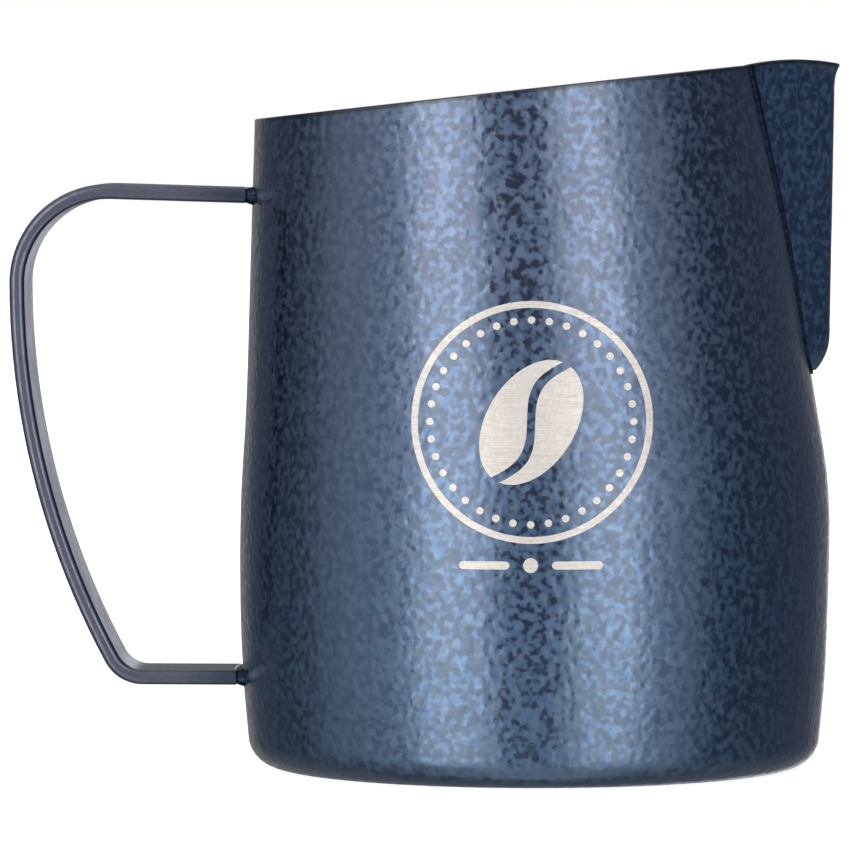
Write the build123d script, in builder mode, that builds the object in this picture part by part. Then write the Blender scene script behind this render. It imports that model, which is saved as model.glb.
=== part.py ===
from build123d import *

import os
from math import asin, atan2, cos, degrees, hypot, radians, sin, sqrt, tan

# A welded milk pitcher, in millimetres. +Z is up and +X points along the spout, with the handle at -X.
# The origin is the centre of the base, on the surface that the pitcher stands on.

# Sheet metal
SHEET = 0.9  # thickness of the cup and of the spout
EDGE_ROUND = 0.3  # on every trimmed edge

# Cup: round at every height. Above the belly it tapers and leans back towards the handle.
CUP_SECTIONS = [  # height, outer radius, centre's X
    (0, 43.4, 0),
    (10, 44.2, 0),
    (22, 44.85, 0),
    (34, 45.05, 0.1),
    (43, 44.8, 0.1),
    (51, 44.0, -0.2),
]
CONE_HEIGHTS = [58, 72, 87, 102, 116]  # from the first of these up, the wall is a straight leaning cone
CONE_START_RADIUS = 43.25
CONE_START_LEAN = -0.62
CONE_TAPER = 0.080  # radius lost per millimetre of height
CONE_LEAN = 0.050  # shift towards the handle per millimetre of height
CORNER_RADIUS = 4.7  # outside corner between wall and base

# Base: a flat foot ring round a shallow push-up
PUSH_UP_RADIUS = 34.0
PUSH_UP_HEIGHT = 0.6
PUSH_UP_TAPER = 50.0

# Rim: trimmed by a plane that rises towards the spout
RIM_HEIGHT = 103.35  # on the Z axis
RIM_TILT = 6.25

# V-shaped cut in the wall for the spout, seen along X
CUT_APEX = 44.1  # height where its straight sides would meet
CUT_HALF_ANGLE = 14.3
CUT_BOTTOM_RADIUS = 5.35
CUT_TOP = 120.0
CUT_NEAR_X = 22.0
CUT_FAR_X = 60.0

# Spout: a V-shaped prow. Its ridge closes on the wall by a keel below, and turns out at the lip above.
RIDGE_TOP = 103.9
RIDGE_TOP_X = 45.75
RIDGE_BOTTOM = 65.9
RIDGE_BOTTOM_X = 45.1
KEEL_RADIUS = 8.0
KEEL_HALF_WIDTH = 2.0  # least half width that the sides are aimed at
KEEL_SIDE_ANGLE = 65.0  # the most that the sides open out
LIP_RADIUS = 6.0
NOSE_RADIUS = 2.7
PROW_BOTTOM = 58.8
PROW_TOP = 109.0
PROW_STEPS = 30
PROW_DEPTH = 24.0  # how far the sides run back inside the cup before they are cut off
CREST_X = 39.9  # highest point of the spout's arched top edge
CREST_HEIGHT = 107.8
CREST_RADIUS = 34.0

# Handle: a flat strap with rounded edges, by its centreline
STRAP_WIDTH = 14.0
STRAP_THICKNESS = 2.3
STRAP_EDGE = 0.9
HANDLE_REACH = -78.7  # X of its back at the farthest point
SHOULDER_HEIGHT = 73.7  # height of that point
SHOULDER_RADIUS = 14.0
UPPER_RUN_RISE = 1.7  # degrees, rising away from the cup
BACK_RADIUS = 121.0  # long gentle curve down the back
ELBOW_RADIUS = 5.4
LOWER_RUN_HEIGHT = 13.6
STRAP_END_X = -41.0  # inside the cup's wall, where both ends are cut to fit it

# Welds
BEAD_HEIGHT = 0.3
BEAD_HALF_WIDTH = 0.55
NECK_LENGTH = 1.0  # gap between the strap's ends and the cup, bridged by weld
NECK_FLARE = 0.1  # how far the weld spreads past the strap's outline at the cup
NECK_TIP = 0.2  # how far inside that outline it is where it meets the strap
NECK_OVERRUN = 1.0  # how far its blank runs past both surfaces before it is trimmed
STRAP_END_ROUND = 0.35
UPPER_WALL_X = -43.1  # where the centrelines of the strap's runs meet the cup
LOWER_WALL_X = -44.45

os.makedirs("parts", exist_ok=True)

rim_plane = Plane((0, 0, RIM_HEIGHT), z_dir=(-sin(radians(RIM_TILT)), 0, cos(radians(RIM_TILT))))


def cone_radius(height):
    return CONE_START_RADIUS - CONE_TAPER * (height - CONE_HEIGHTS[0])


def cone_lean(height):
    return CONE_START_LEAN - CONE_LEAN * (height - CONE_HEIGHTS[0])


def cup_solid(growth, floor=0.0):
    """The cup's outer form as one solid, grown outwards by growth and cut level at the height floor."""
    cone = [(height, cone_radius(height), cone_lean(height)) for height in CONE_HEIGHTS]
    with BuildPart() as form:
        for height, radius, lean in CUP_SECTIONS + cone:
            with BuildSketch(Plane.XY.offset(height)):
                with Locations(Location((lean, 0, 0), (0, 0, 90))):
                    Circle(radius + growth)
        loft()
        if floor:
            split(bisect_by=Plane.XY.offset(floor), keep=Keep.TOP)
        fillet(form.edges().group_by(Axis.Z)[0], CORNER_RADIUS + growth)
    return form.part


def cut_half_width(height):
    """Half the width of the V cut at a height, by its straight sides or its round bottom."""
    angle = radians(CUT_HALF_ANGLE)
    centre = CUT_APEX + CUT_BOTTOM_RADIUS / sin(angle)
    if height >= centre - CUT_BOTTOM_RADIUS * sin(angle):
        return (height - CUT_APEX) * tan(angle)
    return sqrt(max(CUT_BOTTOM_RADIUS**2 - (centre - height) ** 2, 0))


def cut_solid(growth):
    """The V cut as a solid along X, widened by growth on every side."""
    apex = CUT_APEX - growth / sin(radians(CUT_HALF_ANGLE))
    half = (CUT_TOP - apex) * tan(radians(CUT_HALF_ANGLE))
    with BuildPart() as form:
        with BuildSketch(Plane.YZ.offset(CUT_NEAR_X)) as outline:
            with BuildLine():
                Polyline((0, apex), (half, CUT_TOP), (-half, CUT_TOP), close=True)
            make_face()
            fillet(outline.vertices().sort_by(Axis.Y)[0], CUT_BOTTOM_RADIUS + growth)
        extrude(amount=CUT_FAR_X - CUT_NEAR_X)
    return form.part


def ridge_x(height, inset):
    """X of the spout's ridge: a keel arc, a straight ridge and the lip's arc. inset moves it inwards."""
    if height < RIDGE_BOTTOM:
        keel = KEEL_RADIUS - inset
        return RIDGE_BOTTOM_X - KEEL_RADIUS + sqrt(keel**2 - (RIDGE_BOTTOM - height) ** 2)
    if height <= RIDGE_TOP:
        share = (height - RIDGE_BOTTOM) / (RIDGE_TOP - RIDGE_BOTTOM)
        return RIDGE_BOTTOM_X + share * (RIDGE_TOP_X - RIDGE_BOTTOM_X) - inset
    lip = LIP_RADIUS + inset
    return RIDGE_TOP_X + LIP_RADIUS - sqrt(lip**2 - (height - RIDGE_TOP) ** 2)


def side_angle(height):
    """Angle of the spout's sides from X, so that each runs from the seam and touches the round nose."""
    half = max(cut_half_width(height), KEEL_HALF_WIDTH)
    seam_x = cone_lean(height) + sqrt(cone_radius(height) ** 2 - half**2)
    nose_x = ridge_x(height, 0) - NOSE_RADIUS
    reach = hypot(nose_x - seam_x, half)
    return min(atan2(half, nose_x - seam_x) - asin(NOSE_RADIUS / reach), radians(KEEL_SIDE_ANGLE))


def prow_solid(inset):
    """The spout's outer form as one solid of V sections, moved inwards by inset.
    With an inset it starts higher and runs further back, so that it cuts right through the outer form."""
    nose = NOSE_RADIUS - inset
    bottom = PROW_BOTTOM + inset
    with BuildPart() as form:
        for step in range(PROW_STEPS + 1):
            height = bottom + (PROW_TOP - bottom) * step / PROW_STEPS
            side = side_angle(height)
            nose_x = ridge_x(height, inset) - nose
            touch = Vector(nose_x + nose * sin(side), nose * cos(side))
            far = touch + Vector(-cos(side), sin(side)) * (PROW_DEPTH + 2 * inset)
            with BuildSketch(Plane.XY.offset(height)):
                with BuildLine():
                    ThreePointArc(touch, (nose_x + nose, 0), (touch.X, -touch.Y))
                    Polyline((touch.X, -touch.Y), (far.X, -far.Y), (far.X, far.Y), touch)
                make_face()
        loft()
    return form.part


cup_outside = cup_solid(0)
cup_beyond_necks = cup_solid(NECK_LENGTH)
prow_outside = prow_solid(0)

# Body: one drawn sheet. The push-up shows as a dent below and a step on the floor inside.
with BuildPart() as body_shell:
    add(cup_outside)
    add(cup_solid(-SHEET, SHEET), mode=Mode.SUBTRACT)
    with BuildSketch(Plane.XY.offset(SHEET)):
        Circle(PUSH_UP_RADIUS)
    extrude(amount=PUSH_UP_HEIGHT, taper=PUSH_UP_TAPER)
    with BuildSketch():
        Circle(PUSH_UP_RADIUS)
    extrude(amount=PUSH_UP_HEIGHT, taper=PUSH_UP_TAPER, mode=Mode.SUBTRACT)
    split(bisect_by=rim_plane, keep=Keep.BOTTOM)
    fillet(body_shell.faces().sort_by(Axis.Z)[-1].edges(), EDGE_ROUND)
    add(cut_solid(0), mode=Mode.SUBTRACT)
body_shell.part.label = "body_shell"
export_step(body_shell.part, "parts/body_shell.step")

# Spout: a pressed sheet whose edges butt against the V cut
with BuildPart() as spout:
    add(prow_outside)
    add(prow_solid(SHEET), mode=Mode.SUBTRACT)
    add(cut_solid(0), mode=Mode.INTERSECT)
    with Locations((CREST_X, 0, CREST_HEIGHT - CREST_RADIUS)):
        Cylinder(CREST_RADIUS, 2 * CUT_FAR_X, rotation=(90, 0, 0), mode=Mode.INTERSECT)
    fillet(spout.faces().sort_by(Axis.Z)[-1].edges().filter_by(GeomType.LINE, reverse=True), EDGE_ROUND)
spout.part.label = "spout"
export_step(spout.part, "parts/spout.step")

# Spout weld: a low bead that straddles the seam
with BuildPart() as spout_weld:
    add(cut_solid(BEAD_HALF_WIDTH))
    add(cut_solid(-BEAD_HALF_WIDTH), mode=Mode.SUBTRACT)
    add(cup_solid(BEAD_HEIGHT), mode=Mode.INTERSECT)
    add(cup_outside, mode=Mode.SUBTRACT)
    add(prow_outside, mode=Mode.SUBTRACT)
    split(bisect_by=rim_plane, keep=Keep.BOTTOM)
spout_weld.part.label = "spout_weld"
export_step(spout_weld.part, "parts/spout_weld.step")


def strap_section(growth):
    RectangleRounded(STRAP_WIDTH + 2 * growth, STRAP_THICKNESS + 2 * growth, STRAP_EDGE + growth)


# Handle: one strap bent round a shoulder, a long back and an elbow, in the plane y = 0
shoulder = Vector(HANDLE_REACH + SHOULDER_RADIUS, 0, SHOULDER_HEIGHT)
upper_run = Vector(cos(radians(UPPER_RUN_RISE)), 0, -sin(radians(UPPER_RUN_RISE)))
crown = shoulder + Vector(-upper_run.Z, 0, upper_run.X) * SHOULDER_RADIUS
upper_end = crown + upper_run * ((STRAP_END_X - crown.X) / upper_run.X)
elbow_drop = SHOULDER_HEIGHT - LOWER_RUN_HEIGHT - ELBOW_RADIUS
elbow_reach = sqrt((BACK_RADIUS - ELBOW_RADIUS) ** 2 - elbow_drop**2)
back = Vector(HANDLE_REACH + BACK_RADIUS, 0, SHOULDER_HEIGHT)
back_sweep = degrees(atan2(elbow_drop, elbow_reach))
elbow = back - Vector(elbow_reach, 0, elbow_drop)

with BuildPart() as handle:
    with BuildLine(Plane.XZ) as strap_line:
        Line(upper_end, crown)
        CenterArc(shoulder, SHOULDER_RADIUS, 90 - UPPER_RUN_RISE, 90 + UPPER_RUN_RISE)
        CenterArc(back, BACK_RADIUS, 180, back_sweep)
        CenterArc(elbow, ELBOW_RADIUS, 180 + back_sweep, 90 - back_sweep)
        Line(elbow - Vector(0, 0, ELBOW_RADIUS), Vector(STRAP_END_X, 0, LOWER_RUN_HEIGHT))
    with BuildSketch(Plane(upper_end, x_dir=(0, 1, 0), z_dir=upper_run * -1)):
        strap_section(0)
    sweep()
    add(cup_beyond_necks, mode=Mode.SUBTRACT)
    fillet(handle.faces().filter_by(GeomType.BSPLINE).edges(), STRAP_END_ROUND)
handle.part.label = "handle"
export_step(handle.part, "parts/handle.step")


def weld_neck(wall_point, away):
    """The weld between the cup and a strap's end, around the line that leaves wall_point along away."""
    with BuildPart() as form:
        for distance in (-NECK_OVERRUN, NECK_LENGTH + NECK_OVERRUN):
            growth = NECK_FLARE - (NECK_FLARE + NECK_TIP) * distance / NECK_LENGTH
            with BuildSketch(Plane(wall_point + away * distance, x_dir=(0, 1, 0), z_dir=away)):
                strap_section(growth)
        loft()
        add(cup_outside, mode=Mode.SUBTRACT)
        add(cup_beyond_necks, mode=Mode.INTERSECT)
    return form.part


with BuildPart() as upper_handle_weld:
    add(weld_neck(crown + upper_run * ((UPPER_WALL_X - crown.X) / upper_run.X), upper_run * -1))
upper_handle_weld.part.label = "upper_handle_weld"
export_step(upper_handle_weld.part, "parts/upper_handle_weld.step")

with BuildPart() as lower_handle_weld:
    add(weld_neck(Vector(LOWER_WALL_X, 0, LOWER_RUN_HEIGHT), Vector(-1, 0, 0)))
lower_handle_weld.part.label = "lower_handle_weld"
export_step(lower_handle_weld.part, "parts/lower_handle_weld.step")
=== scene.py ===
from math import cos, pi, radians, sin, sqrt, tan

import bmesh
import bpy
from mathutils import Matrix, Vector
from mathutils.bvhtree import BVHTree


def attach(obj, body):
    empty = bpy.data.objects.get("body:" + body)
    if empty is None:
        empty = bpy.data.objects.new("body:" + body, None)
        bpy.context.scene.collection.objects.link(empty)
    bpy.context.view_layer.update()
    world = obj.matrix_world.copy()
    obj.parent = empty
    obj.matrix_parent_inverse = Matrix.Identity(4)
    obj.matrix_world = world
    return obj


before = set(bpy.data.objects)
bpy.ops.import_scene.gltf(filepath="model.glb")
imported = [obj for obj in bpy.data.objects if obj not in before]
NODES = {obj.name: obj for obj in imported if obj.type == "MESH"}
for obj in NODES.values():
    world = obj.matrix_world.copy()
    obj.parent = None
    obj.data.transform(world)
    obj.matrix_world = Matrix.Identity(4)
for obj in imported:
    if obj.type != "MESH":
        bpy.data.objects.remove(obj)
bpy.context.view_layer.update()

MM = 0.001

# Camera: level with the rim and a little to the spout's side of square on
CAMERA_AZIMUTH = radians(3.0)
CAMERA_DISTANCE = 1.13
CAMERA_HEIGHT = 0.1049
CAMERA_AIM = (-0.0169, 0.0522)  # across the view and up
CAMERA_LENS = 314.5
CAMERA_SENSOR = 36.0

# Studio: soft light that depends on its direction round the upright axis, from the camera's side
WARM = (1.04, 1.0, 0.96)
COOL = (0.80, 0.95, 1.25)
ROSE = (1.35, 1.0, 0.95)
AMBER = (1.15, 1.0, 0.80)
PALE = (1.0, 1.0, 1.1)
SOFTBOXES = [  # angle from the camera, half width and softness of the edge in degrees, strength, colour
    (-32.5, 5, 15.5, 2.05, WARM),
    (-60, 8, 40, 0.42, WARM),
    (0, 5, 14, 0.07, ROSE),
    (27.5, 4.5, 15, 1.90, WARM),
    (46, 6, 24, 0.43, WARM),
    (160, 3, 16, 0.08, AMBER),
    (172, 2, 6, 0.80, PALE),
    (194, 3, 16, 0.15, AMBER),
]
SIDE_LIGHT = 0.10
TOP_LIGHT = 0.6
TOP_SPREAD = (0.35, 0.9)  # sines of the elevations where the top light starts and where it is full
FLOOR_LIGHT = (0.20, 0.60)  # at the back and in front
FLOOR_SPREAD = (-0.05, -0.75)
FLOOR_GLOW = 0.85

# Painted shade along the trimmed edges, standing in for the dark reflection on their rounded lips: the
# rim's plane and the arc over the spout
RIM_HEIGHT = 103.35 * MM
RIM_TILT = radians(6.25)
CREST_CENTRE = (39.9 * MM, 73.8 * MM)
CREST_RADIUS = 34.0 * MM
EDGE_BAND = 0.9 * MM

# Spout's seam on the cup: the point and half angle of its V as seen along X, and the painted shade of
# the crease beside it
SEAM_APEX = 44.1 * MM
SEAM_ANGLE = radians(14.3)
SEAM_BOTTOM = 60.0 * MM
SEAM_BAND = 2.4 * MM
SEAM_SHADE = 0.8

# Heights over which the coat turns a deeper blue
DEEPENING_START = 95.0 * MM
DEEPENING_END = 5.0 * MM

# Painted shade on the strap towards the cup, by X
STRAP_SHADE_START = -56.0 * MM
STRAP_SHADE_END = -44.0 * MM
STRAP_SHADE = 0.8

# Colours, each a pair that a pattern runs between
COAT = ((0.060, 0.113, 0.225), (0.130, 0.191, 0.306))
SPOUT_COAT = ((0.062, 0.140, 0.290), (0.125, 0.232, 0.395))
SATIN = ((0.115, 0.132, 0.182), (0.155, 0.172, 0.230))
WELD = ((0.012, 0.020, 0.040), (0.030, 0.050, 0.090))
STEEL = ((0.50, 0.49, 0.47), (0.62, 0.61, 0.59))
ETCHED = ((0.74, 0.71, 0.67), (0.90, 0.87, 0.83))
# colour of the painted shade along the trimmed edges
PAINTED_EDGE_SHADE = (0.030, 0.050, 0.085)
DEEPENING = (0.72, 0.96, 1.0)  # what the coat's colour is multiplied by at the foot
FLOOR = (0.8, 0.8, 0.8)

# Sizes of the patterns' features
SPECKLE_SIZE = 1.25 * MM
SPOT_SIZE = 1.15 * MM
CLOUD_SIZE = 6.0 * MM
RIPPLE_SIZE = 1.3 * MM
BRUSHING_SIZE = 0.25 * MM
SATIN_GRAIN_SIZE = 0.9 * MM
SATIN_CLOUD_SIZE = 7.0 * MM
BEAD_RIPPLE_SIZE = 0.7 * MM
BEAD_PIT_SIZE = 0.35 * MM
ETCHED_PASS_SIZE = 0.12 * MM
ETCHED_FROST_SIZE = 0.5 * MM

# Roughness, each a pair that a pattern runs between, depth of the relief and clear coat
COAT_ROUGH = (0.54, 0.10)
STEEL_ROUGH = (0.34, 0.24)
SATIN_ROUGH = (0.42, 0.30)
WELD_ROUGH = (0.55, 0.32)
ETCHED_ROUGH = (0.60, 0.48)
COAT_RELIEF = 0.085 * MM
STEEL_RELIEF = 0.06  # as a part of the coat's
SATIN_RELIEF = 0.02 * MM
WELD_RELIEF = 0.15 * MM
ETCHED_RELIEF = 0.02 * MM
COAT_CLEAR = {"Coat Weight": 1.0, "Coat Roughness": 0.2, "Coat IOR": 1.7}
SATIN_CLEAR = {"Coat Weight": 0.6, "Coat Roughness": 0.25, "Coat IOR": 1.6}

# Emblem on the cup's -Y side: a ring of beads round a coffee bean, over two short bars
EMBLEM_X = 1.2 * MM
EMBLEM_Z = 54.4 * MM
EMBLEM_RELIEF = 0.04 * MM
EMBLEM_SINK = 0.04 * MM
RING_RADIUS = 17.8 * MM
RING_WIDTH = 1.0 * MM
BEAD_CIRCLE = 15.0 * MM
BEAD_RADIUS = 0.55 * MM
BEAD_COUNT = 36
BEAN_LENGTH = 20.0 * MM
BEAN_WIDTH = 13.0 * MM
BEAN_TILT = radians(58)
CREASE_BEND = 1.9 * MM
CREASE_WIDTH = 1.4 * MM
BAR_DROP = 21.0 * MM
BAR_LENGTH = 7.5 * MM
BAR_WIDTH = 1.2 * MM
BAR_GAP = 2.0 * MM
DOT_RADIUS = 1.1 * MM
RING_GRID = (180, 2)
BEAN_GRID = (48, 8)
CAPSULE_GRID = (16, 2)
MERGE_DISTANCE = 0.01 * MM
CAST_FROM = -71.2 * MM  # Y of a place well outside the cup


class Graph:
    """A material's or world's node tree, with a short call for each kind of node."""

    def __init__(self, owner):
        owner.use_nodes = True
        self.tree = owner.node_tree
        self.tree.nodes.clear()

    def add(self, kind, inputs=(), **settings):
        node = self.tree.nodes.new("ShaderNode" + kind)
        for name, value in settings.items():
            setattr(node, name, value)
        for socket, value in dict(inputs).items():
            self.put(node.inputs[socket], value)
        return node

    def put(self, socket, value):
        if isinstance(value, bpy.types.NodeSocket):
            self.tree.links.new(value, socket)
        elif socket.type == "RGBA":
            socket.default_value = (*value, 1.0)
        else:
            socket.default_value = value

    def math(self, operation, *values):
        return self.add("Math", enumerate(values), operation=operation).outputs[0]

    def vector(self, operation, *values):
        node = self.add("VectorMath", enumerate(values), operation=operation)
        return node.outputs["Value" if operation in ("DOT_PRODUCT", "LENGTH") else 0]

    def parts(self, vector):
        return self.add("SeparateXYZ", {0: vector}).outputs

    def ramp(self, value, low, high, to_low=0.0, to_high=1.0, smooth=True):
        """value's range low to high as the range to_low to to_high, held beyond it."""
        inputs = {"Value": value, 1: low, 2: high, 3: to_low, 4: to_high}
        kind = "SMOOTHSTEP" if smooth else "LINEAR"
        return self.add("MapRange", inputs, interpolation_type=kind).outputs[0]

    def mix(self, factor, a, b):
        inputs = {"Factor": factor, 2: a, 3: b}
        return self.add("Mix", inputs, data_type="FLOAT").outputs[0]

    def colour(self, factor, a, b, blend="MIX"):
        inputs = {"Factor": factor, 6: a, 7: b}
        return self.add("Mix", inputs, data_type="RGBA", blend_type=blend).outputs[2]

    def noise(self, point, size, detail=2.0, roughness=0.5, stretch=(1, 1, 1)):
        """Noise whose features are about size across, longer along an axis where stretch is over 1."""
        scale = self.vector("DIVIDE", point, tuple(size * s for s in stretch))
        inputs = {"Vector": scale, "Scale": 1.0, "Detail": detail, "Roughness": roughness}
        return self.add("TexNoise", inputs).outputs[0]


def make_camera():
    data = bpy.data.cameras.new("camera")
    data.lens = CAMERA_LENS
    data.sensor_width = CAMERA_SENSOR
    data.clip_start = 0.05
    camera = bpy.data.objects.new("camera", data)
    bpy.context.scene.collection.objects.link(camera)
    right = Vector((cos(CAMERA_AZIMUTH), sin(CAMERA_AZIMUTH), 0))
    back = Vector((sin(CAMERA_AZIMUTH), -cos(CAMERA_AZIMUTH), 0))
    aim = right * CAMERA_AIM[0] + Vector((0, 0, CAMERA_AIM[1]))
    camera.location = aim + back * CAMERA_DISTANCE
    camera.location.z = CAMERA_HEIGHT
    camera.rotation_euler = (aim - camera.location).to_track_quat("-Z", "Y").to_euler()
    bpy.context.scene.camera = camera


def make_world():
    """The studio's light, with plain white behind the object where the camera sees it directly."""
    world = bpy.data.worlds.new("studio")
    bpy.context.scene.world = world
    g = Graph(world)
    ray = g.add("TexCoord").outputs["Generated"]
    level = g.vector("NORMALIZE", g.vector("MULTIPLY", ray, (1, 1, 0)))

    def facing(angle):
        turned = CAMERA_AZIMUTH + angle
        return g.vector("DOT_PRODUCT", level, (sin(turned), -cos(turned), 0))

    light = tuple(SIDE_LIGHT * part for part in COOL)
    for angle, half, edge, strength, tint in SOFTBOXES:
        outer = min(radians(half) + radians(edge), pi)
        box = g.ramp(facing(radians(angle)), cos(outer), cos(radians(half)), 0.0, strength)
        light = g.vector("MULTIPLY_ADD", box, tint, light)
    height = g.parts(ray)["Z"]
    light = g.colour(g.ramp(height, *TOP_SPREAD), light, (TOP_LIGHT, TOP_LIGHT, TOP_LIGHT))
    floor = g.ramp(facing(0), 0.1, 0.9, *FLOOR_LIGHT)
    light = g.colour(g.ramp(height, *FLOOR_SPREAD), light, floor)
    lit = g.add("Background", {"Color": light})
    white = g.add("Background", {"Strength": 1.0, "Color": (1, 1, 1)})
    seen = g.add("LightPath").outputs["Is Camera Ray"]
    shown = g.add("MixShader", {0: seen, 1: lit.outputs[0], 2: white.outputs[0]})
    g.add("OutputWorld", {"Surface": shown.outputs[0]})


def make_floor():
    bpy.ops.mesh.primitive_plane_add(size=8.0)
    floor = bpy.context.object
    floor.name = "floor"
    material = bpy.data.materials.new("pale_floor")
    g = Graph(material)
    inputs = {
        "Base Color": FLOOR,
        "Roughness": 0.9,
        "Emission Color": (1, 1, 1),
        "Emission Strength": FLOOR_GLOW,
    }
    shader = g.add("BsdfPrincipled", inputs)
    g.add("OutputMaterial", {"Surface": shader.outputs[0]})
    floor.data.materials.append(material)
    floor.visible_glossy = False


def start_material(name):
    material = bpy.data.materials.new(name)
    g = Graph(material)
    return material, g, g.add("TexCoord").outputs["Object"]


def finish_material(g, colour, rough, height, depth, clear_coat=None):
    """Ends a metal's node tree. height is the pattern of its relief, and depth how deep that is."""
    relief = g.add("Bump", {"Distance": depth, "Height": height}).outputs[0]
    inputs = {"Base Color": colour, "Roughness": rough, "Metallic": 1.0, "Normal": relief}
    if clear_coat:
        inputs |= clear_coat | {"Coat Normal": relief}
    shader = g.add("BsdfPrincipled", inputs)
    g.add("OutputMaterial", {"Surface": shader.outputs[0]})


def inside_mask(g, point):
    """1 on faces that look towards the cup's upright axis or up from its floor, and 0 outside."""
    normal = g.add("NewGeometry").outputs["True Normal"]
    outward = g.vector("NORMALIZE", g.vector("MULTIPLY", point, (1, 1, 0)))
    wall = g.ramp(g.vector("DOT_PRODUCT", normal, outward), -0.35, -0.65)
    up = g.ramp(g.parts(normal)["Z"], 0.3, 0.7)
    low = g.ramp(g.parts(point)["Z"], 20 * MM, 12 * MM)
    return g.math("MAXIMUM", wall, g.math("MULTIPLY", up, low))


def rim_shade_mask(g, point):
    """1 along the cup's trimmed rim, where its edge shade is painted."""
    rise = g.vector("DOT_PRODUCT", point, (-sin(RIM_TILT), 0, cos(RIM_TILT)))
    rim = RIM_HEIGHT * cos(RIM_TILT)
    return g.ramp(rise, rim - EDGE_BAND, rim - EDGE_BAND / 2)


def seam_shade_mask(g, point):
    """1 on the cup just outside the spout's seam, fading away from it: where the crease's shade is
    painted.
    """
    place = g.parts(point)
    half = g.math("MULTIPLY", g.math("SUBTRACT", place["Z"], SEAM_APEX), tan(SEAM_ANGLE))
    outside = g.math("SUBTRACT", g.math("ABSOLUTE", place["Y"]), half)
    beside = g.ramp(outside, SEAM_BAND, SEAM_BAND / 3)
    above = g.ramp(place["Z"], SEAM_BOTTOM - SEAM_BAND, SEAM_BOTTOM + SEAM_BAND)
    in_front = g.math("GREATER_THAN", place["X"], 0.0)
    return g.math("MULTIPLY", g.math("MULTIPLY", beside, above), in_front)


def cup_shade_mask(g, point):
    """Painted shade: 1 along the rim, and SEAM_SHADE beside the seam."""
    return g.math("MAXIMUM", rim_shade_mask(g, point), g.math("MULTIPLY", seam_shade_mask(g, point), SEAM_SHADE))


def crest_shade_mask(g, point):
    """1 along the spout's arched top edge, where its edge shade is painted."""
    centre = (CREST_CENTRE[0], 0, CREST_CENTRE[1])
    side_on = g.vector("MULTIPLY", g.vector("SUBTRACT", point, centre), (1, 0, 1))
    distance = g.vector("LENGTH", side_on)
    return g.ramp(distance, CREST_RADIUS - EDGE_BAND, CREST_RADIUS - EDGE_BAND / 2)


def speckled_coat(name, colours, edge_shade_mask):
    """Cured metallic coat with smooth spots in a rougher ground, shade painted along its edges, and the
    steel left bare inside.
    """
    material, g, point = start_material(name)
    spots = g.noise(g.vector("ADD", point, (0.3, 0.1, 0.2)), SPOT_SIZE, 1.0, 0.5)
    speckle = g.noise(g.vector("ADD", point, (0.1, 0.4, 0.3)), SPECKLE_SIZE, 0.5, 0.4)
    tone = g.mix(0.20, speckle, g.noise(point, CLOUD_SIZE))
    tone = g.mix(0.45, tone, g.math("SUBTRACT", 1.0, spots))
    colour = g.colour(g.ramp(tone, 0.33, 0.67), *colours)
    lower = g.ramp(g.parts(point)["Z"], DEEPENING_START, DEEPENING_END)
    colour = g.colour(lower, colour, DEEPENING, "MULTIPLY")
    # painted shade along the trimmed edges and beside the spout's seam
    colour = g.colour(edge_shade_mask(g, point), colour, PAINTED_EDGE_SHADE)
    rough = g.ramp(spots, 0.42, 0.66, *COAT_ROUGH, smooth=False)
    ripple = g.noise(point, RIPPLE_SIZE, 0.5, 0.4)

    bare = inside_mask(g, point)
    brushing = g.noise(point, BRUSHING_SIZE, 2.0, 0.6, (60, 60, 1))
    streak = g.ramp(brushing, 0.3, 0.7)
    colour = g.colour(bare, colour, g.colour(streak, *STEEL))
    rough = g.mix(bare, rough, g.ramp(streak, 0.0, 1.0, *STEEL_ROUGH))
    height = g.mix(bare, ripple, g.math("MULTIPLY", brushing, STEEL_RELIEF))
    finish_material(g, colour, rough, height, COAT_RELIEF, COAT_CLEAR)
    return material


def satin_coat(name):
    """The handle's smoother, greyer coat, with shade painted on it towards the welds, where the strap
    meets the cup.
    """
    material, g, point = start_material(name)
    grain = g.noise(point, SATIN_GRAIN_SIZE)
    tone = g.mix(0.5, grain, g.noise(point, SATIN_CLOUD_SIZE))
    colour = g.colour(g.ramp(tone, 0.35, 0.65), *SATIN)
    # painted shade, darker towards the cup
    shaded = g.ramp(g.parts(point)["X"], STRAP_SHADE_START, STRAP_SHADE_END, 0.0, STRAP_SHADE)
    colour = g.colour(shaded, colour, WELD[1])
    rough = g.ramp(tone, 0.35, 0.65, *SATIN_ROUGH)
    finish_material(g, colour, rough, grain, SATIN_RELIEF, SATIN_CLEAR)
    return material


def weld_coat(name):
    """Weld metal under the coat: dark, with the ripples of the bead."""
    material, g, point = start_material(name)
    ripple = g.noise(point, BEAD_RIPPLE_SIZE, 1.0, 0.5, (3, 3, 1))
    tone = g.mix(0.4, ripple, g.noise(point, BEAD_PIT_SIZE))
    colour = g.colour(g.ramp(tone, 0.35, 0.65), *WELD)
    finish_material(g, colour, g.ramp(tone, 0.3, 0.7, *WELD_ROUGH), tone, WELD_RELIEF)
    return material


def etched_steel(name):
    """Steel laid bare by the engraver's closely spaced passes."""
    material, g, point = start_material(name)
    passes = g.noise(point, ETCHED_PASS_SIZE, 1.0, 0.5, (40, 40, 1))
    tone = g.mix(0.5, passes, g.noise(point, ETCHED_FROST_SIZE, 3.0, 0.6))
    colour = g.colour(g.ramp(tone, 0.35, 0.65), *ETCHED)
    finish_material(g, colour, g.ramp(tone, 0.3, 0.7, *ETCHED_ROUGH), tone, ETCHED_RELIEF)
    return material


def dress(node, material):
    """Gives a CAD node its finish."""
    for slot in NODES[node].material_slots:
        slot.material = material


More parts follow.
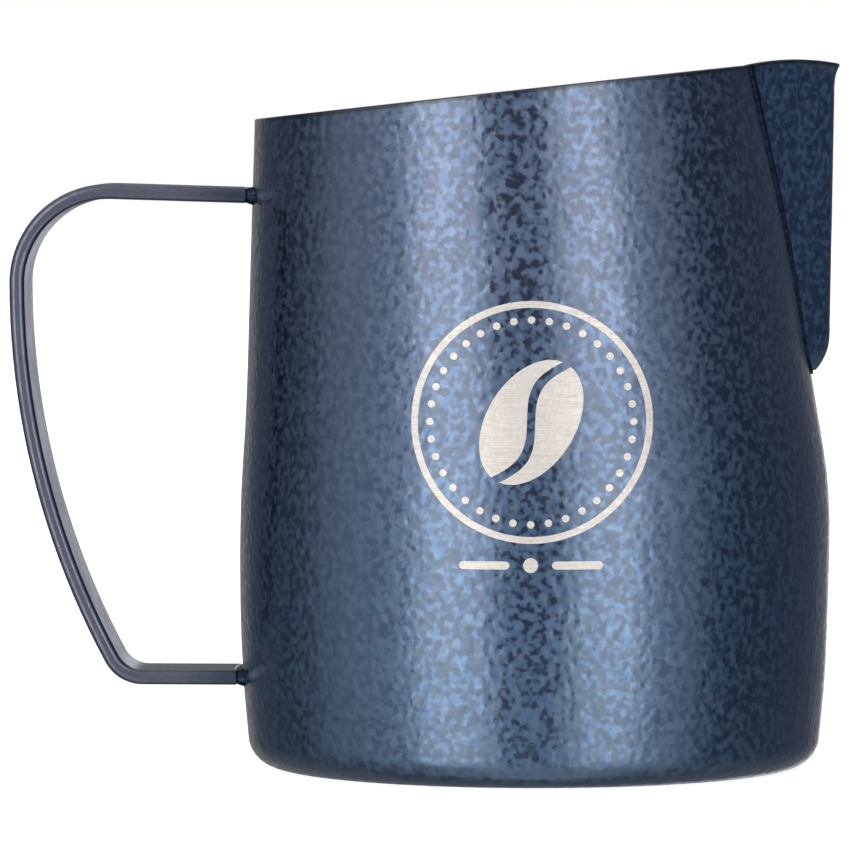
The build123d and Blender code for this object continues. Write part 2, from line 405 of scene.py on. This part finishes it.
def patch(mesh, grid, place):
    """Grid of faces over the unit square, each of its corners put where place(s, t) says."""
    columns, rows = grid
    corners = []
    for i in range(columns + 1):
        corners.append([mesh.verts.new((*place(i / columns, j / rows), 0)) for j in range(rows + 1)])
    for i in range(columns):
        left, right = corners[i], corners[i + 1]
        for j in range(rows):
            mesh.faces.new((left[j], right[j], right[j + 1], left[j + 1]))


def band(mesh, grid, half_length, lower, upper, turn=0.0, centre=(0, 0)):
    """Patch along a straight axis, between two curves that give the height over each place on it."""

    def place(s, t):
        along = -half_length * cos(pi * s)
        across = lower(along) + (upper(along) - lower(along)) * t
        return (
            centre[0] + along * cos(turn) - across * sin(turn),
            centre[1] + along * sin(turn) + across * cos(turn),
        )

    patch(mesh, grid, place)


def capsule(mesh, length, width, centre):
    """Rounded bar, or a disc where its length equals its width."""
    radius = width / 2

    def half(along):
        past = max(abs(along) - (length / 2 - radius), 0)
        return sqrt(max(radius**2 - past**2, 0))

    band(mesh, CAPSULE_GRID, length / 2, lambda along: -half(along), half, centre=centre)


def half_bean(mesh, side):
    """One side of a coffee bean, up to its S-shaped crease."""

    def outer(along):
        return side * BEAN_WIDTH / 2 * sqrt(max(1 - (2 * along / BEAN_LENGTH) ** 2, 0))

    def inner(along):
        crease = CREASE_BEND * sin(2 * pi * along / BEAN_LENGTH) + side * CREASE_WIDTH / 2
        return side * min(side * crease, side * outer(along))

    band(mesh, BEAN_GRID, BEAN_LENGTH / 2, inner, outer, turn=BEAN_TILT)


def draw_emblem(mesh):
    """The emblem's flat outline, round the origin."""

    def ring(s, t):
        radius = RING_RADIUS - RING_WIDTH * t
        return radius * cos(2 * pi * s), radius * sin(2 * pi * s)

    patch(mesh, RING_GRID, ring)
    for i in range(BEAD_COUNT):
        angle = 2 * pi * i / BEAD_COUNT
        place = (BEAD_CIRCLE * cos(angle), BEAD_CIRCLE * sin(angle))
        capsule(mesh, 2 * BEAD_RADIUS, 2 * BEAD_RADIUS, place)
    for side in (1, -1):
        half_bean(mesh, side)
    capsule(mesh, 2 * DOT_RADIUS, 2 * DOT_RADIUS, (0, -BAR_DROP))
    for side in (-1, 1):
        offset = DOT_RADIUS + BAR_GAP + BAR_LENGTH / 2
        capsule(mesh, BAR_LENGTH, BAR_WIDTH, (side * offset, -BAR_DROP))
    bmesh.ops.remove_doubles(mesh, verts=mesh.verts, dist=MERGE_DISTANCE)
    bmesh.ops.dissolve_degenerate(mesh, edges=mesh.edges, dist=MERGE_DISTANCE)


def move_out(vertex, distance):
    """Moves a vertex straight away from the cup's upright axis."""
    vertex.co += Vector((vertex.co.x, vertex.co.y, 0)).normalized() * distance


def wrap_emblem(mesh):
    """Lays the outline on the cup's wall and thickens it, from just under the surface to just above."""
    shell = NODES["body_shell"].data
    wall = BVHTree.FromPolygons([v.co for v in shell.vertices], [p.vertices for p in shell.polygons])
    for vertex in mesh.verts:
        start = Vector((EMBLEM_X + vertex.co.x, CAST_FROM, EMBLEM_Z + vertex.co.y))
        vertex.co = wall.ray_cast(start, Vector((0, 1, 0)))[0]
        move_out(vertex, -EMBLEM_SINK)
    raised = bmesh.ops.extrude_face_region(mesh, geom=mesh.faces[:], use_keep_orig=True)
    for item in raised["geom"]:
        if isinstance(item, bmesh.types.BMVert):
            move_out(item, EMBLEM_SINK + EMBLEM_RELIEF)
    bmesh.ops.recalc_face_normals(mesh, faces=mesh.faces)


def make_emblem():
    mesh = bmesh.new()
    draw_emblem(mesh)
    wrap_emblem(mesh)
    data = bpy.data.meshes.new("emblem")
    mesh.to_mesh(data)
    mesh.free()
    emblem = bpy.data.objects.new("emblem", data)
    bpy.context.scene.collection.objects.link(emblem)
    data.materials.append(etched_steel("etched_steel"))
    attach(emblem, "root")


bpy.context.scene.view_settings.view_transform = "Standard"
make_camera()
make_world()
make_floor()
dress("body_shell", speckled_coat("body_coat", COAT, cup_shade_mask))
dress("spout", speckled_coat("spout_coat", SPOUT_COAT, crest_shade_mask))
dress("handle", satin_coat("handle_coat"))
for seam in ("spout_weld", "upper_handle_weld", "lower_handle_weld"):
    dress(seam, weld_coat(seam + "_coat"))
make_emblem()
